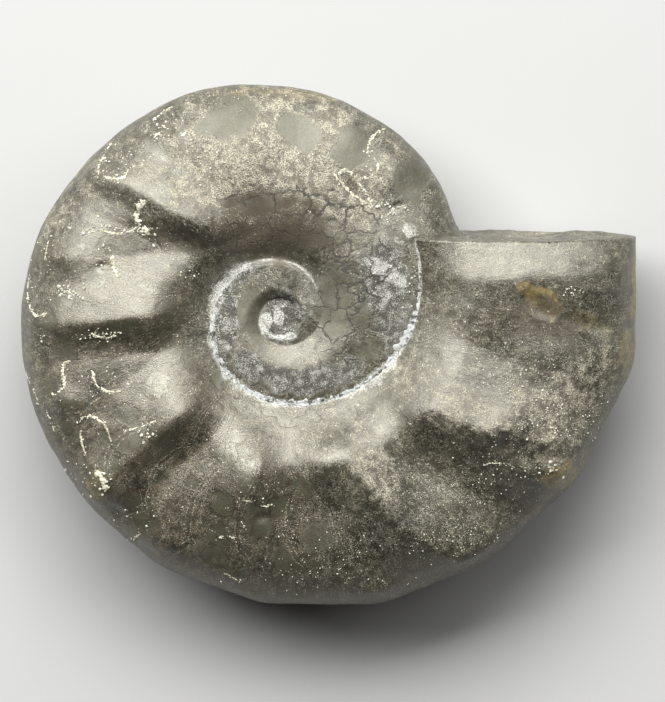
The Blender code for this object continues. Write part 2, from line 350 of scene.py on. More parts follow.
def outerSpot(columnAngle, row):  # of the last whorl: row 0 is the overlap, row 1 the rim
    power = coil["edgePower"]

    def radiusAt(angle):
        seam, rim, shoulder = seamRadius(angle), rimRadius(angle), shoulderRadius(angle)
        start = (seam + overlap * (rim - seam) - shoulder) / (rim - shoulder)
        swing = np.arcsin(start ** (power / 2))
        swing = swing + row * (math.pi / 2 - swing)
        return shoulder + (rim - shoulder) * np.sin(swing) ** (2 / power)

    return settle(columnAngle, radiusAt)


def addStrip(bm, spot, first, columns, rows, side, perWhorl, halved=()):
    # A flat grid is laid along the coil. Every second vertex of a halved edge moves onto the
    # one before it, where the strip meets one with half as many divisions.
    layer = bm.verts.layers.float_vector["spot"]
    verts = bmesh.ops.create_grid(bm, x_segments=columns, y_segments=rows, size=1)["verts"]
    flat = np.array([vert.co[:2] for vert in verts])
    column = np.round((flat[:, 0] + 1) / 2 * columns)
    row = np.round((flat[:, 1] + 1) / 2 * rows)
    for edge, here in (("seam", row == 0), ("rim", row == rows)):
        if edge in halved:
            column = np.where(here, column - column % 2, column)
    if "start" in halved:
        row = np.where(column == 0, row - row % 2, row)
    angle, radius = spot(first + column * 360 / perWhorl, row / rows)
    height = surfaceHeight(angle, radius, side)
    if spot == outerSpot:
        height = np.where(row == rows, 0, height)
    if side == below:
        height = -np.minimum(height, relief["restDepth"])
    seam = seamRadius(angle)
    share = (radius - seam) / (rimRadius(angle) - seam)
    x, y = flatPlace(angle, radius)
    sign = 1 if side == above else -1
    for i, vert in enumerate(verts):
        vert.co = (x[i], y[i], height[i])
        vert[layer] = (angle[i] / 360, sign * share[i], 0)


def keepSpots(bm):  # each whorl keeps its own growth angle and share across as a UV map
    layer = bm.verts.layers.float_vector["spot"]
    uv = bm.loops.layers.uv.new("coil")
    for face in bm.faces:
        for loop in face.loops:
            loop[uv].uv = loop.vert[layer][:2]
    bm.verts.layers.float_vector.remove(layer)


def closeBreak(bm):  # fills the open end and cuts it into small cells
    edges = [edge for edge in bm.edges if edge.is_boundary]
    rimVerts = {vert for edge in edges for vert in edge.verts}
    faces = bmesh.ops.contextual_create(bm, geom=edges)["faces"]
    for axis, direction in ((0, (1, 0, 0)), (2, (0, 0, 1))):
        low = min(vert.co[axis] for vert in rimVerts)
        high = max(vert.co[axis] for vert in rimVerts)
        for k in range(1, math.ceil((high - low) / divisions["breakCell"])):
            place = [0, coil["breakY"], 0]
            place[axis] = low + k * divisions["breakCell"]
            sides = list(dict.fromkeys(edge for face in faces for edge in face.edges))
            corners = list(dict.fromkeys(vert for face in faces for vert in face.verts))
            geom = faces + sides + corners
            cut = bmesh.ops.bisect_plane(bm, geom=geom, dist=divisions["weld"], plane_co=place,
                                         plane_no=direction)
            faces = [part for part in cut["geom"] if isinstance(part, bmesh.types.BMFace)]
    return faces


def makeStone():
    bm = bmesh.new()
    bm.verts.layers.float_vector.new("spot")
    full, half = divisions["columns"], divisions["columns"] // 2
    quarter = half // 2
    rows, rowsBelow = divisions["rowsToOverlap"], divisions["rowsToOverlapBelow"]
    whorls = (firstAngle - coil["start"] + 360) / 360
    for side, columns, count in ((above, half, rows // 2), (below, quarter, rowsBelow // 2)):
        earlier = math.ceil(whorls * columns)
        addStrip(bm, earlierSpot, firstAngle - earlier * 360 / columns, earlier, count, side, columns)
    addStrip(bm, innerSpot, firstAngle, full, rows, above, full, ("seam", "start"))
    addStrip(bm, outerSpot, firstAngle, full, divisions["rowsOverRim"], above, full, ("rim",))
    addStrip(bm, innerSpot, firstAngle, half, rowsBelow, below, half, ("seam", "start"))
    addStrip(bm, outerSpot, firstAngle, half, divisions["rowsOverRimBelow"], below, half)
    keepSpots(bm)
    bmesh.ops.remove_doubles(bm, verts=bm.verts, dist=divisions["weld"])
    breakFaces = closeBreak(bm)
    bmesh.ops.recalc_face_normals(bm, faces=bm.faces)
    return bm, breakFaces


# Zones of the stone's surface.

# Each zone is a list of soft ellipses: middle and half sizes in the photo's pixels, turn in
# degrees, strength. Underneath, the same zones are turned round.
zones = {
    "granular": [
        (275, 160, 100, 62, 0, 1), (205, 165, 40, 45, 0, 0.6), (350, 185, 45, 40, 0, 0.7),
        (555, 415, 62, 38, -20, 0.6), (440, 395, 60, 30, 35, 0.35), (60, 200, 30, 50, 20, 0.4),
        # the ellipse at (374, 468) is partly real crust and partly painted highlight on the lit side of
        # a rib
        (374, 468, 18, 44, -28, 0.7), (602, 372, 40, 30, 0, 0.4),
    ],
    "smooth": [
        (300, 133, 24, 17, 20, 1), (355, 148, 24, 20, 20, 1), (412, 180, 18, 20, 0, 1),
        (232, 118, 30, 22, -20, 0.8), (262, 205, 30, 12, 0, 0.7), (256, 521, 18, 18, 0, 0.9),
        (318, 537, 18, 18, 0, 0.9), (285, 552, 14, 12, 0, 0.7), (208, 545, 20, 12, 20, 0.6),
        (128, 440, 15, 12, 20, 0.7), (160, 478, 16, 14, 0, 0.5), (252, 312, 13, 28, 0, 0.8),
        (336, 300, 18, 42, 0, 0.8), (362, 320, 12, 16, 0, 0.8), (368, 350, 16, 12, -30, 0.7),
        (300, 245, 40, 16, 0, 0.6),
    ],
    "salt": [
        (226, 318, 12, 52, 0, 1), (240, 276, 22, 9, -30, 0.9), (300, 380, 48, 14, 0, 1),
        (345, 372, 26, 14, -30, 0.7), (385, 285, 30, 46, 0, 0.9), (398, 330, 16, 26, 10, 0.7),
        (283, 316, 23, 24, 0, 1), (250, 368, 26, 12, 35, 0.9), (310, 290, 10, 18, -20, 0.6),
    ],
    "calcite": [
        (386, 272, 24, 8, 28, 0.9), (266, 322, 6, 12, 10, 0.8), (284, 336, 14, 4, 0, 0.9),
        (279, 316, 6, 8, 0, 0.8), (400, 250, 12, 18, 0, 0.3), (384, 302, 10, 4, -60, 0.6),
        (409, 230, 10, 12, 0, 0.5),
    ],
    "golden": [
        (540, 300, 25, 12, 33, 1), (588, 322, 34, 9, 18, 0.5), (616, 356, 24, 16, 0, 0.4),
        (639, 290, 7, 60, 0, 0.8), (629, 352, 12, 26, 0, 0.6), (562, 478, 22, 16, -20, 0.8),
        (97, 483, 12, 18, 0, 0.5), (300, 94, 90, 7, 4, 0.5), (160, 548, 14, 12, 0, 0.4),
    ],
    # brown stains, and painted shade where slopes face away from the light, as over the umbilicus and on
    # the right flank
    "brownAndShade": [
        (272, 230, 62, 32, 0, 1), (545, 332, 70, 26, 10, 0.5), (455, 322, 42, 26, 0, 0.4),
        (330, 240, 30, 22, 0, 0.5), (250, 205, 20, 26, 0, 0.4), (352, 188, 5, 9, -40, 1),
        (550, 308, 16, 8, 33, 1), (580, 405, 26, 14, 20, 0.5), (506, 448, 16, 10, 0, 0.6),
        (540, 318, 44, 22, 12, 0.7), (555, 455, 18, 7, 0, 0.6), (182, 240, 28, 15, 28, 0.7),
        (190, 425, 18, 22, -30, 0.3), (165, 130, 12, 9, 0, 0.7), (108, 190, 14, 7, 20, 0.5),
        (120, 355, 60, 14, -6, 0.4), (520, 500, 40, 14, -20, 0.4), (410, 545, 40, 20, 40, 0.4),
    ],
    "cracked": [
        (305, 225, 90, 36, 0, 1), (350, 270, 40, 50, 0, 0.9), (345, 330, 40, 40, 0, 0.8),
        (236, 398, 34, 16, 0, 0.5), (320, 412, 50, 14, 0, 0.5),
    ],
    "speckled": [
        (500, 490, 120, 80, 0, 1), (560, 410, 80, 60, 0, 1), (330, 560, 120, 50, 0, 0.7),
        (250, 300, 300, 280, 0, 0.35), (480, 360, 90, 60, 0, 0.6), (200, 190, 90, 60, 0, 0.7),
    ],
    "septate": [
        (190, 470, 150, 110, 35, 1), (110, 330, 90, 140, 0, 0.7), (180, 180, 110, 70, -30, 0.5),
    ],
}
zoneEdge = {
    "softness": 0.75,
    "wander": 0.42,
    "wanderSize": 2.4,  # mm
    "turnBelow": 140.0,  # degrees
    "seamReach": 0.9,  # share of the seam band's width
    "seamWander": 1.5,
    "seamSoftness": 1.3,
    "seamStrength": 0.55,
}

seamBand = {
    # growth angle, width of the calcite along the seam in mm
    "width": [
        (118, 0.1), (128, 0.75), (140, 0.95), (155, 0.6), (168, 1.15), (182, 0.8), (196, 0.95),
        (214, 0.9), (240, 1.05), (262, 0.95), (280, 0.6), (300, 0.55), (312, 0.95), (322, 1.6),
        (334, 1.2), (347, 0.95), (357, 0.5), (366, 0.26), (372, 0.3), (380, 0.22), (388, 0.25),
        (392, 0.12),
    ],
    "inwards": 0.15,  # mm from the seam towards the middle
    "samples": 8,  # for each degree
    "step": 0.18,
    "across": 14,
    "height": 0.20,
    "lumpSize": 0.40,
    "widthLump": 0.6,
    "ragged": 1.0,
    "widest": 1.6,
    "gapSize": 1.3,
    "lasting": 0.58,
    "endTaper": 2.0,
}


def lumpiness(point, size, octaves):  # smooth noise from -1 to 1, size in mm
    return noise.fractal(Vector(point / size), 1.0, 2.0, octaves)


def noiseAt(points, size, octaves=1):
    return np.array([lumpiness(p, size, octaves) for p in points])


def zoneStrengths(points):
    c, s = flatPlace(zoneEdge["turnBelow"], 1)
    x, y, z = points.T
    turned = np.stack([x * c - y * s, x * s + y * c, -z], axis=1)
    x, y = pixelsOf(np.where(z[:, None] < 0, turned, points))
    wander = zoneEdge["wander"] * noiseAt(points, zoneEdge["wanderSize"], 3)
    strengths = {}
    for name, ellipses in zones.items():
        total = np.zeros(len(points))
        for *ellipse, strength in ellipses:
            inside = 1 + zoneEdge["softness"] / 2 - np.hypot(*within(x, y, ellipse)) + wander
            total = np.maximum(total, strength * ease(inside / zoneEdge["softness"]))
        strengths[name] = total
    strengths["calcite"] = np.maximum(strengths["calcite"], alongSeam(points, wander))
    return strengths


def alongSeam(points, wander):  # how near the seam of the last whorl a point on the upper side is
    angle, radius = polar(points)
    angle = np.where(angle < firstAngle, angle + 360, angle)
    apart = np.abs(radius - seamRadius(angle))
    reach = along(seamBand["width"], 1, angle) * zoneEdge["seamReach"]
    reach = reach * (1 + zoneEdge["seamWander"] * wander)
    strength = zoneEdge["seamStrength"] * ease(zoneEdge["seamSoftness"] - apart / reach)
    return np.where(points[:, 2] > 0, strength, 0)


# Fine relief, pushed out along the surface's own directions.

weathering = {
    # size and height in mm, octaves
    "all over": [(6.5, 0.17, 2), (2.4, 0.06, 3)],
    "granular": (0.75, 0.045),
    "salt": (0.6, 0.07),
    # x, y, half length, half width in mm, turn in degrees, depth: scoops with a sharp edge
    "chips": [
        (29, -15.6, 1.1, 1.7, -15, 0.4), (-17, 24.4, 1.2, 0.8, 10, 0.3), (39, 7, 0.8, 0.6, 0, 0.25),
        (8.9, 17.6, 1.3, 0.5, -60, 0.3), (-14.4, 23.9, 1.6, 0.9, -60, 0.35),
        (-23.2, 7, 1.2, 0.7, 10, 0.25), (31, -18.2, 1.9, 1, -10, 0.35),
        (-21.8, -25.2, 1.5, 1, -40, 0.35), (-2.7, -25.5, 1, 0.8, 20, 0.25),
        (14.7, 14.6, 1.2, 0.6, 20, 0.3), (-2.5, -0.8, 1, 0.4, -70, 0.22),
        (-1.7, -1.8, 1, 0.4, -40, 0.25), (-0.5, -2.2, 1, 0.4, 0, 0.28), (0.8, -1.8, 1, 0.4, 35, 0.25),
        (1.8, -0.8, 1, 0.4, 65, 0.2),
    ],
    # the same, for hollows that fade out softly
    "hollows": [
        (2.2, 24.4, 4.6, 3.4, -20, 0.3), (9.4, 22.6, 4.4, 3.6, -20, 0.35),
        (16.8, 18.4, 3.4, 3.6, 0, 0.35), (-6.6, 26.3, 5, 3.4, 20, 0.25),
        (8.8, 17, 2.6, 1.3, -55, 0.35), (-13.6, 10.4, 3.6, 2.2, -28, 0.35),
    ],
    # the same, for a piece broken away that is deepest at one long side
    "wedges": [(33.2, 2.3, 3.1, 1.6, -37, 0.85), (39.6, -0.4, 3.6, 1, -14, 0.35)],
    # depth at the seam and reach in mm, and the growth angles between which it lies
    "bank": {"depth": 1.6, "reach": 6.5, "power": 1.4, "first": 36, "last": 190, "fade": 40,
             "slack": 0.001},
    "break": [(6.0, 0.45, 3), (1.2, 0.12, 2)],
    "breakEdge": 1.6,  # mm over which the break's relief fades out
}


def chipDepth(chip, points, kind):
    *ellipse, depth = chip
    u, side = within(points[:, 0], points[:, 1], ellipse)
    inside = np.clip(1 - u**2 - side**2, 0, 1)
    if kind == "hollows":
        inside = inside**2
    if kind == "wedges":
        inside = np.sqrt(inside) * np.clip(0.5 - side / 2, 0, 1)
    return np.where(points[:, 2] > 0, depth * inside, 0)


def bankDepth(points):  # the flank falls more steeply to the seam behind the middle of the coil
    bank = weathering["bank"]
    angle, radius = polar(points)
    outwards = (radius - seamRadius(angle)) / bank["reach"]
    fall = np.where(outwards > -bank["slack"], np.clip(1 - outwards, 0, 1) ** bank["power"], 0)
    fadeIn, fadeOut = (angle - bank["first"]) / bank["fade"], (bank["last"] - angle) / bank["fade"]
    return np.where(points[:, 2] > 0, bank["depth"] * fall * ease(fadeIn) * ease(fadeOut), 0)


def weather(bm):
    bm.normal_update()
    bm.verts.ensure_lookup_table()
    points = np.array([vert.co for vert in bm.verts])
    strengths = zoneStrengths(points)
    height = sum(tall * noiseAt(points, size, octaves) for size, tall, octaves in weathering["all over"])
    for name in ("granular", "salt"):
        size, tall = weathering[name]
        rough = 1 - 2 * np.abs(noiseAt(points, size, 2))
        height = height + tall * rough * strengths[name] * (1 - strengths["smooth"])
    for kind in ("chips", "hollows", "wedges"):
        height = height - sum(chipDepth(chip, points, kind) for chip in weathering[kind])
    height = height - bankDepth(points)
    for vert, distance in zip(bm.verts, height):
        vert.co += vert.normal * distance
        vert.co.z = max(vert.co.z, -relief["restDepth"])
    layers = {name: bm.verts.layers.float.new(name) for name in strengths}
    for name, layer in layers.items():
        for vert, strength in zip(bm.verts, strengths[name]):
            vert[layer] = strength


def roughenBreak(bm, breakFaces):
    inBreak = set(breakFaces)
    verts = {vert for face in breakFaces for vert in face.verts}
    edge = [vert for vert in verts if any(face not in inBreak for face in vert.link_faces)]
    tree = KDTree(len(edge))
    for i, vert in enumerate(edge):
        tree.insert(vert.co, i)
    tree.balance()
    inner = sorted(verts - set(edge), key=lambda vert: tuple(vert.co))
    points = np.array([vert.co for vert in inner])
    height = sum(tall * noiseAt(points, size, octaves) for size, tall, octaves in weathering["break"])
    for vert, push in zip(inner, height):
        vert.co.y += push * float(ease(tree.find(vert.co)[2] / weathering["breakEdge"]))


# Moving what is built in mm onto the solid.

def solidShift(bm):  # the middle of the solid's box is the middle of the stone's
    low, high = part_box("ammonite")
    shift = Vector((0, 0, relief["restDepth"]))
    for axis in (0, 1):
        ours = [vert.co[axis] for vert in bm.verts]
        shift[axis] = (low[axis] + high[axis]) / 2 / mm - (min(ours) + max(ours)) / 2
    return shift


def show(name, data):
    made = bpy.data.objects.new(name, data)
    bpy.context.scene.collection.objects.link(made)
    return made


def finishPiece(bm, name, material, smooth=True):
    bmesh.ops.translate(bm, verts=bm.verts, vec=shift)
    bmesh.ops.scale(bm, verts=bm.verts, vec=(mm, mm, mm))
    mesh = bpy.data.meshes.new(name)
    bm.to_mesh(mesh)
    mesh.materials.append(material)
    if smooth:
        mesh.shade_smooth()
    piece = show(name, mesh)
    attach(piece, "root")
    return piece


# Shader maths.

class Wire:  # a socket of a shader tree; sums and products of wires add Math nodes
    def __init__(self, tree, socket=None):
        self.tree = tree
        self.socket = socket

    def node(self, kind, sockets, output=0, **settings):
        made = self.tree.nodes.new("ShaderNode" + kind)
        for name, value in settings.items():
            setattr(made, name, value)
        for name, value in sockets.items():
            if isinstance(value, Wire):
                self.tree.links.new(value.socket, made.inputs[name])
            else:
                made.inputs[name].default_value = value
        return Wire(self.tree, made.outputs[output])

    def maths(self, operation, other=0.0):
        return self.node("Math", {0: self, 1: other}, operation=operation)

    __add__ = __radd__ = partialmethod(maths, "ADD")
    __sub__ = partialmethod(maths, "SUBTRACT")
    __mul__ = __rmul__ = partialmethod(maths, "MULTIPLY")
    __truediv__ = partialmethod(maths, "DIVIDE")
    __pow__ = partialmethod(maths, "POWER")
    largest = partialmethod(maths, "MAXIMUM")

    def __rsub__(self, other):
        return self.node("Math", {0: other, 1: self}, operation="SUBTRACT")

    def ramp(self, low, high):  # 0 below low, 1 above high, smooth between
        sockets = {"Value": self, "From Min": low, "From Max": high}
        return self.node("MapRange", sockets, interpolation_type="SMOOTHSTEP")

    def noise(self, place, scale, detail, rough, output=0):
        sockets = {"Vector": place, "Scale": scale, "Detail": detail, "Roughness": rough}
        return self.node("TexNoise", sockets, output)

    def cells(self, place, scale, feature="F1", output="Distance"):
        return self.node("TexVoronoi", {"Vector": place, "Scale": scale}, output, feature=feature)

    def blend(self, amount, first, second):  # colours
        return self.node("Mix", {0: amount, 6: first, 7: second}, 2, data_type="RGBA")

    def coat(self, amount, name):
        return self.blend(amount, self, stoneLook[name])

    def bump(self, height, strength, distance):
        return self.node("Bump", {"Strength": strength, "Distance": distance, "Height": height})

    def place(self):  # object coordinates in mm
        metres = self.node("TexCoord", {}, "Object")
        return self.node("VectorMath", {0: metres, "Scale": 1 / mm}, operation="SCALE")

    def part(self, which):
        return self.node("SeparateXYZ", {0: self}, which)

    def coil(self):  # growth angle in whorls and share of the way across, as a vector
        return self.node("UVMap", {}, uv_map="coil")

    def plug(self, socket):
        self.tree.links.new(self.socket, socket)


def newMaterial(name, settings):
    material = bpy.data.materials.new(name)
    material.use_nodes = True
    shader = material.node_tree.nodes["Principled BSDF"]
    for socket, value in settings.items():
        shader.inputs[socket].default_value = value
    return material, Wire(material.node_tree), shader


def colour(r, g, b):
    return (r, g, b, 1.0)


stoneLook = {
    "shader": {"IOR": 1.6, "Specular IOR Level": 1.0, "Specular Tint": colour(1.0, 0.975, 0.85)},
    "dark": colour(0.017, 0.0146, 0.0090),
    "mid": colour(0.053, 0.047, 0.032),
    "dust": colour(0.46, 0.43, 0.32),
    "tan": colour(0.50, 0.455, 0.34),
    "olive": colour(0.058, 0.055, 0.034),
    "grey": colour(0.115, 0.115, 0.104),
    "umber": colour(0.085, 0.062, 0.040),
    "golden": colour(0.17, 0.115, 0.030),
    "goldenPale": colour(0.36, 0.30, 0.14),
    # brown for stains, crack halos and saddle brims, and for painted shade
    "brownAndShade": colour(0.035, 0.022, 0.010),
    "white": colour(0.66, 0.66, 0.62),
    "black": colour(0.014, 0.013, 0.011),
    # pale grains, partly painted glints
    "speckAndGlint": colour(0.62, 0.60, 0.50),
    "sutures": 26.0,  # suture lines in each whorl
    "archesAcross": 2.3,  # arches of a suture line between the seam and the rim
    "archStart": 0.5,
    "archPower": 0.45,
    "archDepth": 0.40,  # share of the way to the next suture line
    "teethAcross": 95.0,
    "teethDepth": 0.035,
    "sutureFray": 0.12,
    "grainHeight": 0.00015,  # m
    "grainStrength": 0.55,
    "streaks": (470.0, 11.0),  # across and along the streaks, for each whorl and each width
    # scale for each mm, octaves and roughness of the noises
    "noises": {
        "cloud": (0.22, 5.0, 0.62), "blotch": (0.75, 4.0, 0.65), "grain": (3.4, 4.0, 0.70),
        "grit": (7.5, 2.0, 0.6), "clump": (0.9, 5.0, 0.7), "fine": (8.0, 2.0, 0.7),
        "amber": (1.3, 4.0, 0.65),
    },
    "bend": (0.9, 2.0, 0.5),
    "ridges": (2.1, 2.0, 0.55),
    "ridgeSteepness": 6.5,
    "bendReach": 1.5,  # mm
    "lobes": 0.25,  # for each mm, as for the next two
    "crackCells": 0.30,
    "specks": 3.3,
}


def edged(wire, frayed):  # a zone whose edge dissolves into grains
    return (wire + frayed).ramp(0.28, 0.72)


def sutureLine(w, fray):  # thin lines across each whorl, arched towards the break
    look = stoneLook
    turns, share = w.coil().part(0), w.coil().part(1)
    wave = (share * (math.pi * look["archesAcross"]) + look["archStart"]).maths("SINE")
    arch = wave.maths("ABSOLUTE") ** look["archPower"]
    teeth = (share * look["teethAcross"]).maths("SINE") * look["teethDepth"]
    teeth = teeth * (1 - arch.ramp(0.35, 0.75))
    phase = turns * look["sutures"] + arch * look["archDepth"] + teeth + fray * look["sutureFray"]
    return (phase.maths("FRACT") - 0.5).maths("ABSOLUTE") * 2


def streaks(w):  # fine pale strokes that run outwards across each whorl
    sockets = {0: w.coil(), 1: (*stoneLook["streaks"], 1.0)}
    stretched = w.node("VectorMath", sockets, operation="MULTIPLY")
    return w.noise(stretched, 1.0, 3.0, 0.6).ramp(0.5, 0.62)


def stoneMaterial():
    look = stoneLook
    material, w, shader = newMaterial("dark_limestone", look["shader"])
    place = w.place()
    bend = w.noise(place, *look["bend"], 1)
    sockets = {0: bend, 1: [look["bendReach"]] * 3, 2: place}
    bent = w.node("VectorMath", sockets, operation="MULTIPLY_ADD")
    zone = {name: w.node("Attribute", {}, "Fac", attribute_name=name) for name in zones}
    noises = [w.noise(place, *shape) for shape in look["noises"].values()]
    cloud, blotch, grain, grit, clump, fine, amberNoise = noises
    fray = (blotch - 0.5) * 1.1 + (grain - 0.5) * 0.7
    smooth = edged(zone["smooth"], fray)
    rough = (zone["granular"] + (cloud - 0.5) * 1.5 + fray * 1.1).ramp(0.1, 0.95) * (1 - smooth)

    # plain stone, with pale dust in its grain
    tint = w.blend(cloud.ramp(0.35, 0.65), look["dark"], look["mid"])
    dust = (grain * 0.35 + grit * 0.65).ramp(0.51, 0.57)
    streak = streaks(w)
    tint = tint.coat(dust * blotch.ramp(0.28, 0.64) * 0.5, "dust")
    tint = tint.coat(streak * blotch.ramp(0.35, 0.6) * 0.14, "dust")
    tint = tint.coat(smooth * 0.65, "olive")

    # the coarse crust on the top of the coil
    ridge = (w.noise(bent, *look["ridges"]) - 0.5) * look["ridgeSteepness"]
    worms = (1 - ridge.maths("ABSOLUTE")).ramp(-0.1, 0.75)
    crust = worms * grit.ramp(0.36, 0.58) * rough
    tint = tint.coat(rough * blotch.ramp(0.55, 0.35) * 0.5, "umber")
    tint = tint.coat(crust * (0.15 + 0.75 * blotch.ramp(0.38, 0.58)), "tan")

    # rounded dark saddles of the sutures, with coarser stone around them
    lobes = w.cells(bent, look["lobes"])
    septate = edged(zone["septate"] - 0.15, fray * 0.5)
    saddle = (lobes + fray * 0.05).ramp(0.44, 0.38) * septate
    brim = (lobes + fray * 0.05).ramp(0.52, 0.47) * (1 - saddle) * septate
    tint = tint.coat(septate * (1 - saddle) * blotch.ramp(0.4, 0.62) * 0.4, "umber")
    tint = tint.coat(brim * grain.ramp(0.36, 0.58) * 0.8, "brownAndShade")
    tint = tint.coat(saddle * 0.85, "olive")

    # suture lines
    suture = sutureLine(w, bend.part(0) - 0.5)
    shown = (zone["septate"] - 0.55 + (blotch - 0.5) * 3.0).ramp(0.0, 0.5)
    line = suture.ramp(0.93, 0.97) * shown
    paleSide = suture.ramp(0.84, 0.9) * (1 - suture.ramp(0.9, 0.95)) * shown * dust
    tint = tint.coat(line * 0.35, "black")
    tint = tint.coat(paleSide * 0.7, "tan")

    # grey and white calcite in the umbilicus
    saltZone = (zone["salt"] + fray * 0.8).ramp(0.2, 0.95) * (1 - smooth * 0.8)
    grains = fine + (clump - 0.5) * 0.9
    salt = grains.ramp(0.53, 0.62)
    pepper = saltZone * grains.ramp(0.57, 0.46)
    calcite = edged(zone["calcite"], fray) * (0.15 + 0.85 * fine.ramp(0.4, 0.58))
    tint = tint.coat(saltZone * 0.5, "grey")
    tint = tint.coat(pepper * 0.9, "black")
    tint = tint.coat(saltZone * salt * 0.42, "white")
    tint = tint.coat(calcite * 0.8, "white")

    # hair cracks, in cells
    near = w.cells(bent, look["crackCells"], "DISTANCE_TO_EDGE")
    broken = (cloud + (blotch - 0.5) * 1.4).ramp(0.28, 0.48) * edged(zone["cracked"], fray * 0.6)
    thin = 0.008 + 0.085 * (blotch * grit)
    crack = (1 - (near / thin).ramp(0.5, 1.6)) * broken
    halo = (1 - near.ramp(0.02, 0.2)) * broken * grain.ramp(0.58, 0.42)
    tint = tint.coat(halo * 0.55, "brownAndShade")
    tint = tint.coat(crack * 0.92, "black")

    # amber stains, and brown that is partly real stain and partly painted shade on slopes facing away
    # from the light
    amber = edged(zone["golden"], fray * 0.7) * zone["golden"]
    goldTint = w.blend(amberNoise.ramp(0.35, 0.68), look["golden"], look["goldenPale"])
    tint = w.blend(amber * 0.8, tint, goldTint)
    brownAndShade = edged(zone["brownAndShade"], fray) * zone["brownAndShade"]
    tint = tint.coat(brownAndShade * (0.85 - 0.35 * dust), "brownAndShade")

    # bright specks: pale calcite grains, partly painted glints of the crystals
    dots = w.cells(bent, look["specks"])
    pick = w.node("SeparateColor", {0: w.cells(bent, look["specks"], "F1", "Color")})
    often = pick + (blotch - 0.5) * 1.6 + (zone["speckled"] - 1) * 0.35
    speckAndGlint = (1 - dots.ramp(0.16, 0.34)) * often.ramp(0.62, 0.8) * (1 - smooth)
    tint = tint.coat(speckAndGlint * 0.75, "speckAndGlint")

    gloss = 0.15 + 0.36 * grain + 0.12 * blotch + 0.14 * rough + 0.1 * saltZone + 0.3 * crack
    gloss = gloss + 0.35 * pepper + 0.42 * brownAndShade + 0.17 * smooth + 0.55 * (grit - 0.5)
    high = (grain * 0.5 + grit * 0.6 + streak * 0.08) * (1 - 0.5 * smooth.largest(saddle))
    high = high + crust * 0.5 + saltZone * salt * 0.5 - crack * 0.35 - line * 0.15
    high = high + speckAndGlint * 0.35 + paleSide * 0.3
    bump = w.bump(high, look["grainStrength"], look["grainHeight"])
    tint.plug(shader.inputs["Base Color"])
    gloss.plug(shader.inputs["Roughness"])
    bump.plug(shader.inputs["Normal"])
    return material


bm, breakFaces = makeStone()
print("stone mesh made")
shift = solidShift(bm)
roughenBreak(bm, breakFaces)
weather(bm)
bmesh.ops.recalc_face_normals(bm, faces=bm.faces)
stoneTree = BVHTree.FromBMesh(bm)
fossil = finishPiece(bm, "ammonite_surface", stoneMaterial())
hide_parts("ammonite")
print("stone finished")


# Calcite that stands out of the stone.

threads = {
    # full width in mm, then the pixels that the raised suture thread passes
    "upper left": [
        (0.8, (147, 201), (139, 208), (138, 220), (146, 229), (151, 236)),
        (0.55, (114, 255), (113, 262), (116, 271), (122, 280)),
        (0.4, (86, 235), (98, 231), (110, 233), (122, 234), (132, 231), (140, 227)),
        (0.45, (136, 229), (145, 233), (152, 228)),
    ],
    "left rim and comb": [
        (0.3, (50, 234), (47, 248), (45, 261)),
        (0.45, (29, 274), (27, 290), (30, 307), (37, 316), (48, 313)),
        (0.4, (58, 298), (67, 292), (76, 296)),
        (0.55, (89, 328), (96, 336), (104, 338), (112, 337), (121, 332)), (0.28, (96, 336), (97, 330)),
        (0.28, (104, 338), (105, 332)), (0.28, (112, 337), (112, 331)), (0.4, (43, 335), (41, 344)),
    ],
    "lower left": [
        (0.5, (51, 394), (60, 391), (65, 385), (63, 373), (65, 364), (71, 360)),
        (0.5, (93, 370), (95, 380), (100, 387), (109, 392), (122, 391)),
        (0.4, (24, 371), (30, 385), (38, 403)), (0.4, (46, 410), (50, 421), (54, 432)),
        (0.42, (77, 427), (81, 419), (90, 416), (98, 419), (106, 426), (112, 442)),
        (0.38, (80, 430), (82, 443), (86, 456)), (0.35, (124, 432), (134, 429), (146, 425), (157, 420)),
        (1, (96, 470), (103, 480), (107, 490)), (0.6, (72, 477), (71, 485)),
    ],
    "bottom dashes": [
        (0.5, (120, 539), (132, 541), (141, 534)), (0.55, (218, 536), (228, 538), (237, 537)),
        (0.35, (241, 521), (243, 524), (244, 528)), (0.4, (245, 500), (254, 501)),
        (0.4, (261, 505), (268, 506), (273, 503)), (0.35, (226, 574), (232, 578), (238, 582)),
    ],
    "top left": [
        (0.4, (112, 143), (105, 153), (99, 167), (100, 180)),
        (0.5, (105, 177), (114, 180), (124, 178), (132, 169), (145, 165)),
        (0.5, (153, 121), (164, 112), (174, 106)), (0.6, (153, 137), (159, 135), (165, 138)),
        (0.5, (168, 144), (172, 142)), (0.5, (182, 137), (187, 133)),
        (0.4, (197, 162), (203, 156), (209, 151)),
    ],
    "leaf": [
        (0.5, (338, 176), (341, 172), (345, 171), (350, 173), (357, 181), (363, 190), (369, 200),
         (372, 206)),
        (0.5, (334, 174), (338, 180), (346, 189), (356, 198), (364, 203), (371, 207)),
    ],
    "top right": [
        (0.4, (386, 128), (377, 133), (371, 141), (368, 150), (371, 157), (376, 162)),
        (0.42, (376, 162), (378, 168), (376, 175), (371, 179), (362, 178)),
    ],
    "right dash": [
        (0.3, (482, 465), (490, 463), (500, 463), (510, 464)),
    ],
}
allThreads = [thread for group in threads.values() for thread in group]
threadShape = {
    "step": 0.10,  # mm along a thread
    "across": 10,
    "height": 0.32,  # of half a thread's width
    "lumpSize": 0.22,
    "widthLump": 0.38,
    "ragged": 1.2,  # share by which its edges come and go
    "widest": 1.7,
    "gapSize": 1.1,  # mm between the places where it is worn away
    "lasting": 0.42,  # how little of it is worn away
    "endTaper": 0.4,
}
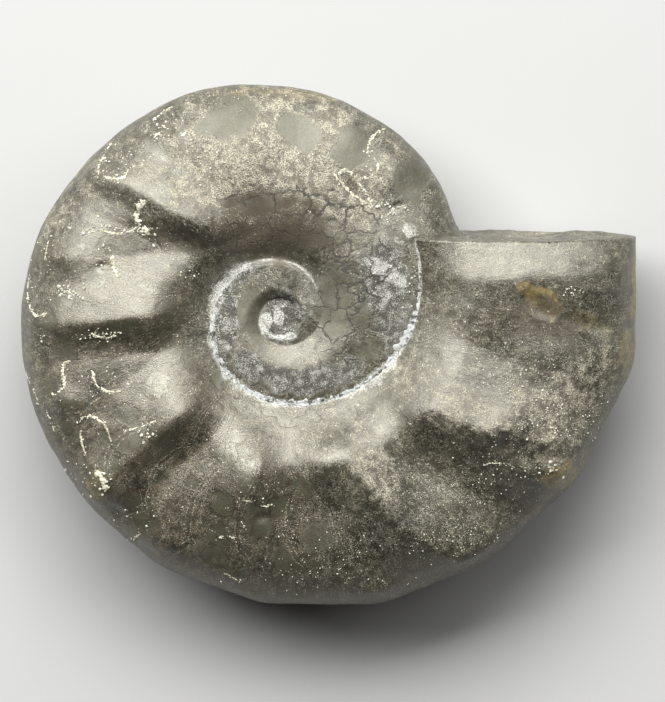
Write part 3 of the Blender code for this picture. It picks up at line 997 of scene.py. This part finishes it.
bandShape = {  # of every draped band
    "lumpShare": 1.0,
    "sink": 0.12,
    "wall": 0.30,
    "narrowestEnd": 0.02,
    "narrowest": 0.12,
    "sidesApart": 2.0,  # mm, so that its two edges are ragged in their own ways
    "crownWidth": 0.45,  # mm, the half width from which the crown gets no higher
    "wornEdge": 0.3,
    "sinkPower": 3,
    "wornSink": 1.5,
}
sky = 60.0  # mm over the coil's plane, where the lines of sight start


def seenAt(x, y):  # the stone's surface at a pixel and its normal, or nothing
    start = Vector((*placeOf(x, y, sky), sky))
    return stoneTree.ray_cast(start, Vector((0, -tiltSine, -tiltCosine)))[:2]


def evenly(points, step):  # a smooth line through points, with even steps
    points = np.array(points, float)
    lengths = np.linalg.norm(np.diff(points, axis=0), axis=1)
    reach = np.concatenate([[0], np.cumsum(lengths)])
    count = max(3, math.ceil(reach[-1] / step))
    at = np.linspace(0, reach[-1], count + 1)
    columns = [along(list(zip(reach, points[:, axis])), 1, at) for axis in range(points.shape[1])]
    return np.stack(columns, axis=1), at


def drape(bm, middle, at, widths, shape):  # lays a raised band on the stone, along a line
    rows = shape["across"]
    count = len(middle) - 1
    outward = bm.verts.layers.float_vector["outward"]
    verts = bmesh.ops.create_grid(bm, x_segments=count, y_segments=rows, size=1)["verts"]
    ends = np.minimum(at, at[-1] - at) / shape["endTaper"]
    taper = np.sqrt(np.clip(ends, bandShape["narrowestEnd"], 1))
    ahead = np.gradient(middle, axis=0)
    for vert in verts:
        column = round((vert.co.x + 1) / 2 * count)
        side = vert.co.y
        spot = Vector(middle[column])
        hit, normal, _, _ = stoneTree.find_nearest(spot)
        away = normal.cross(Vector(ahead[column])).normalized()
        edge = hit + away * math.copysign(bandShape["sidesApart"], side)
        ragged = 1 + shape["ragged"] * lumpiness(edge, shape["widthLump"], 2)
        half = widths[column] / 2 * taper[column]
        half = half * min(max(ragged, bandShape["narrowest"]), shape["widest"])
        hit, normal, _, _ = stoneTree.find_nearest(spot + away * half * side)
        lump = 1 + bandShape["lumpShare"] * lumpiness(hit, shape["lumpSize"], 2)
        crown = math.sqrt(max(1 - side * side, 0)) * min(half, bandShape["crownWidth"]) * shape["height"]
        left = (lumpiness(hit, shape["gapSize"], 3) + shape["lasting"]) / bandShape["wornEdge"]
        left = float(ease(left))
        sunk = max(abs(side) ** bandShape["sinkPower"], bandShape["wornSink"] * (1 - left))
        vert.co = hit + normal * (crown * lump * left - bandShape["sink"] * sunk)
        vert[outward] = normal


def thicken(bm):  # a draped sheet gets an underside inside the stone
    outward = bm.verts.layers.float_vector["outward"]
    geom = list(bm.verts) + list(bm.edges) + list(bm.faces)
    made = bmesh.ops.extrude_face_region(bm, geom=geom, use_keep_orig=True)["geom"]
    for vert in made:
        if isinstance(vert, bmesh.types.BMVert):
            vert.co -= vert[outward] * bandShape["wall"]
    bm.verts.layers.float_vector.remove(outward)
    bmesh.ops.recalc_face_normals(bm, faces=bm.faces)


def makeThreads():
    bm = bmesh.new()
    bm.verts.layers.float_vector.new("outward")
    for width, *pixels in allThreads:
        seen = [spot for spot, _ in (seenAt(x, y) for x, y in pixels) if spot]
        if len(seen) > 1:
            middle, at = evenly(seen, threadShape["step"])
            drape(bm, middle, at, np.full(len(middle), width), threadShape)
    thicken(bm)
    return bm


def makeSeamBand():
    bm = bmesh.new()
    bm.verts.layers.float_vector.new("outward")
    first, last = seamBand["width"][0][0], seamBand["width"][-1][0]
    angle = np.linspace(first, last, seamBand["samples"] * (last - first))
    radius = seamRadius(angle) - seamBand["inwards"]
    height = surfaceHeight(angle, radius + 2 * seamBand["inwards"], above)
    x, y = flatPlace(angle, radius)
    line = np.stack([x, y, height], axis=1)
    middle, at = evenly(line[::seamBand["samples"]], seamBand["step"])
    angles = np.interp(at, np.linspace(0, at[-1], len(angle)), angle)
    drape(bm, middle, at, along(seamBand["width"], 1, angles), seamBand)
    thicken(bm)
    return bm


beads = {
    "seed": 11,
    "perPixel": 0.32,  # beads for each pixel of a thread's length
    "spread": 3.2,  # pixels to either side of it
    "size": (0.05, 0.13),  # radius in mm
    "stretch": (0.7, 1.7),
    "stand": 0.25,  # share of the radius that the middle stands out
    # middle and half sizes in pixels, number, largest radius in mm
    "patches": [
        (70, 292, 14, 9, 30, 0.2), (100, 230, 50, 6, 34, 0.18), (150, 236, 9, 9, 14, 0.2),
        (106, 255, 10, 26, 16, 0.16), (60, 270, 40, 60, 30, 0.12), (100, 335, 22, 8, 16, 0.17),
        (110, 390, 40, 30, 26, 0.12), (148, 435, 9, 7, 12, 0.2), (90, 470, 30, 30, 26, 0.14),
        (102, 480, 11, 18, 16, 0.18), (130, 520, 30, 22, 20, 0.13), (170, 132, 24, 12, 22, 0.2),
        (120, 165, 26, 22, 26, 0.15), (205, 165, 26, 40, 50, 0.14), (190, 275, 16, 12, 9, 0.13),
        (572, 292, 10, 8, 16, 0.16), (552, 470, 12, 8, 16, 0.2), (525, 380, 30, 22, 40, 0.13),
        (560, 420, 55, 34, 110, 0.12), (500, 470, 60, 50, 70, 0.1), (460, 545, 60, 26, 60, 0.1),
        (330, 560, 90, 36, 70, 0.1), (250, 470, 60, 60, 40, 0.1), (360, 420, 40, 24, 24, 0.1),
        (396, 212, 24, 8, 26, 0.17), (382, 206, 12, 5, 14, 0.22), (368, 155, 8, 26, 18, 0.14),
        (390, 275, 26, 12, 26, 0.14), (408, 300, 8, 30, 16, 0.12), (260, 95, 70, 8, 26, 0.1),
        (480, 250, 50, 10, 14, 0.09), (240, 275, 24, 10, 12, 0.11), (212, 320, 8, 40, 14, 0.11),
    ],
}


def addBead(bm, dice, x, y, largest):
    spot, normal = seenAt(x, y)
    if spot is None:
        return
    radius = dice.uniform(beads["size"][0], largest)
    verts = bmesh.ops.create_icosphere(bm, subdivisions=1, radius=radius)["verts"]
    stretch = [dice.uniform(*beads["stretch"]) for _ in range(3)]
    turn = Euler([dice.uniform(0, math.tau) for _ in range(3)]).to_matrix()
    bmesh.ops.scale(bm, verts=verts, vec=stretch)
    bmesh.ops.rotate(bm, verts=verts, cent=(0, 0, 0), matrix=turn)
    bmesh.ops.translate(bm, verts=verts, vec=spot + normal * radius * beads["stand"])


def makeBeads():
    bm = bmesh.new()
    dice = random.Random(beads["seed"])
    for _, *pixels in allThreads:
        for (x0, y0), (x1, y1) in zip(pixels, pixels[1:]):
            for _ in range(round(math.hypot(x1 - x0, y1 - y0) * beads["perPixel"])):
                t = dice.random()
                x = x0 + (x1 - x0) * t + dice.gauss(0, 0.5) * beads["spread"]
                y = y0 + (y1 - y0) * t + dice.gauss(0, 0.5) * beads["spread"]
                addBead(bm, dice, x, y, beads["size"][1])
    for left, top, length, width, count, largest in beads["patches"]:
        for _ in range(count):
            addBead(bm, dice, dice.gauss(left, length / 2), dice.gauss(top, width / 2), largest)
    return bm


calciteLook = {
    # pale and deep colour, roughness, grains for each mm
    "threads": (colour(0.62, 0.59, 0.46), colour(0.24, 0.22, 0.15), 0.66, 3.2),
    "seam": (colour(0.42, 0.43, 0.41), colour(0.04, 0.04, 0.036), 0.68, 2.6),
    "beads": (colour(0.60, 0.59, 0.50), colour(0.26, 0.25, 0.19), 0.55, 3.2),
    "patches": (0.8, 3.0, 0.6),
    "grainStrength": 0.8,
    "grainHeight": 0.0001,  # m
}


def calciteMaterial(name, key):
    pale, deep, roughness, grainScale = calciteLook[key]
    material, w, shader = newMaterial(name, {"IOR": 1.55})
    place = w.place()
    grain = w.noise(place, grainScale, 5.0, 0.75)
    patch = w.noise(place, *calciteLook["patches"])
    amount = (grain + (patch - 0.5) * 0.9).ramp(0.36, 0.56)
    bump = w.bump(grain, calciteLook["grainStrength"], calciteLook["grainHeight"])
    w.blend(amount, deep, pale).plug(shader.inputs["Base Color"])
    (roughness + 0.15 * (1 - grain)).plug(shader.inputs["Roughness"])
    bump.plug(shader.inputs["Normal"])
    return material


finishPiece(makeThreads(), "suture_threads", calciteMaterial("cream_calcite", "threads"))
finishPiece(makeSeamBand(), "seam_calcite", calciteMaterial("white_calcite", "seam"))
finishPiece(makeBeads(), "calcite_beads", calciteMaterial("bead_calcite", "beads"), False)
print("calcite made")


# The studio.

studio = {
    "floorSize": 3.0,
    "floor": colour(0.42, 0.42, 0.41),
    "world": colour(0.86, 0.83, 0.77),
    "worldStrength": 0.05,
    "cameraDistance": 0.9,
    "clip": (0.01, 10.0),  # m
    # direction that the light comes from, distance, width, height in m, power in W
    "lights": [
        ("key", (-0.26, 0.68, 0.75), 0.75, 1.00, 0.40, 16.4),
        ("second", (0.62, 0.50, 0.75), 0.80, 0.60, 0.40, 2.5),
    ],
}


def makeFloor():
    bm = bmesh.new()
    bmesh.ops.create_grid(bm, x_segments=1, y_segments=1, size=studio["floorSize"] / 2)
    mesh = bpy.data.meshes.new("floor")
    bm.to_mesh(mesh)
    bm.free()
    pale = {"Roughness": 0.8, "Base Color": studio["floor"]}
    mesh.materials.append(newMaterial("pale_floor", pale)[0])
    show("floor", mesh)


def makeLights():
    for name, direction, distance, width, height, power in studio["lights"]:
        light = bpy.data.lights.new(name, "AREA")
        light.shape = "RECTANGLE"
        light.size = width
        light.size_y = height
        light.energy = power
        lamp = show(name, light)
        lamp.location = Vector(direction).normalized() * distance
        lamp.rotation_euler = Vector(direction).to_track_quat("Z", "Y").to_euler()
    world = bpy.data.worlds.new("studio")
    world.use_nodes = True
    background = world.node_tree.nodes["Background"]
    background.inputs["Color"].default_value = studio["world"]
    background.inputs["Strength"].default_value = studio["worldStrength"]
    bpy.context.scene.world = world


def makeCamera():
    lens = bpy.data.cameras.new("camera")
    camera = show("camera", lens)
    middle = placeOf(photo["width"] / 2, photo["height"] / 2, photo["focusHeight"])
    target = (Vector((*middle, photo["focusHeight"])) + shift) * mm
    away = Vector((0, tiltSine, tiltCosine))
    camera.location = target + away * studio["cameraDistance"]
    camera.rotation_euler = (-math.radians(photo["tilt"]), 0, 0)
    lens.sensor_fit = "HORIZONTAL"
    seenWidth = photo["width"] * photo["mmPerPixel"] * mm
    lens.lens = lens.sensor_width * studio["cameraDistance"] / seenWidth
    lens.clip_start, lens.clip_end = studio["clip"]
    bpy.context.scene.camera = camera


makeFloor()
makeLights()
makeCamera()
bpy.context.scene.view_settings.view_transform = "Standard"
print("studio made")
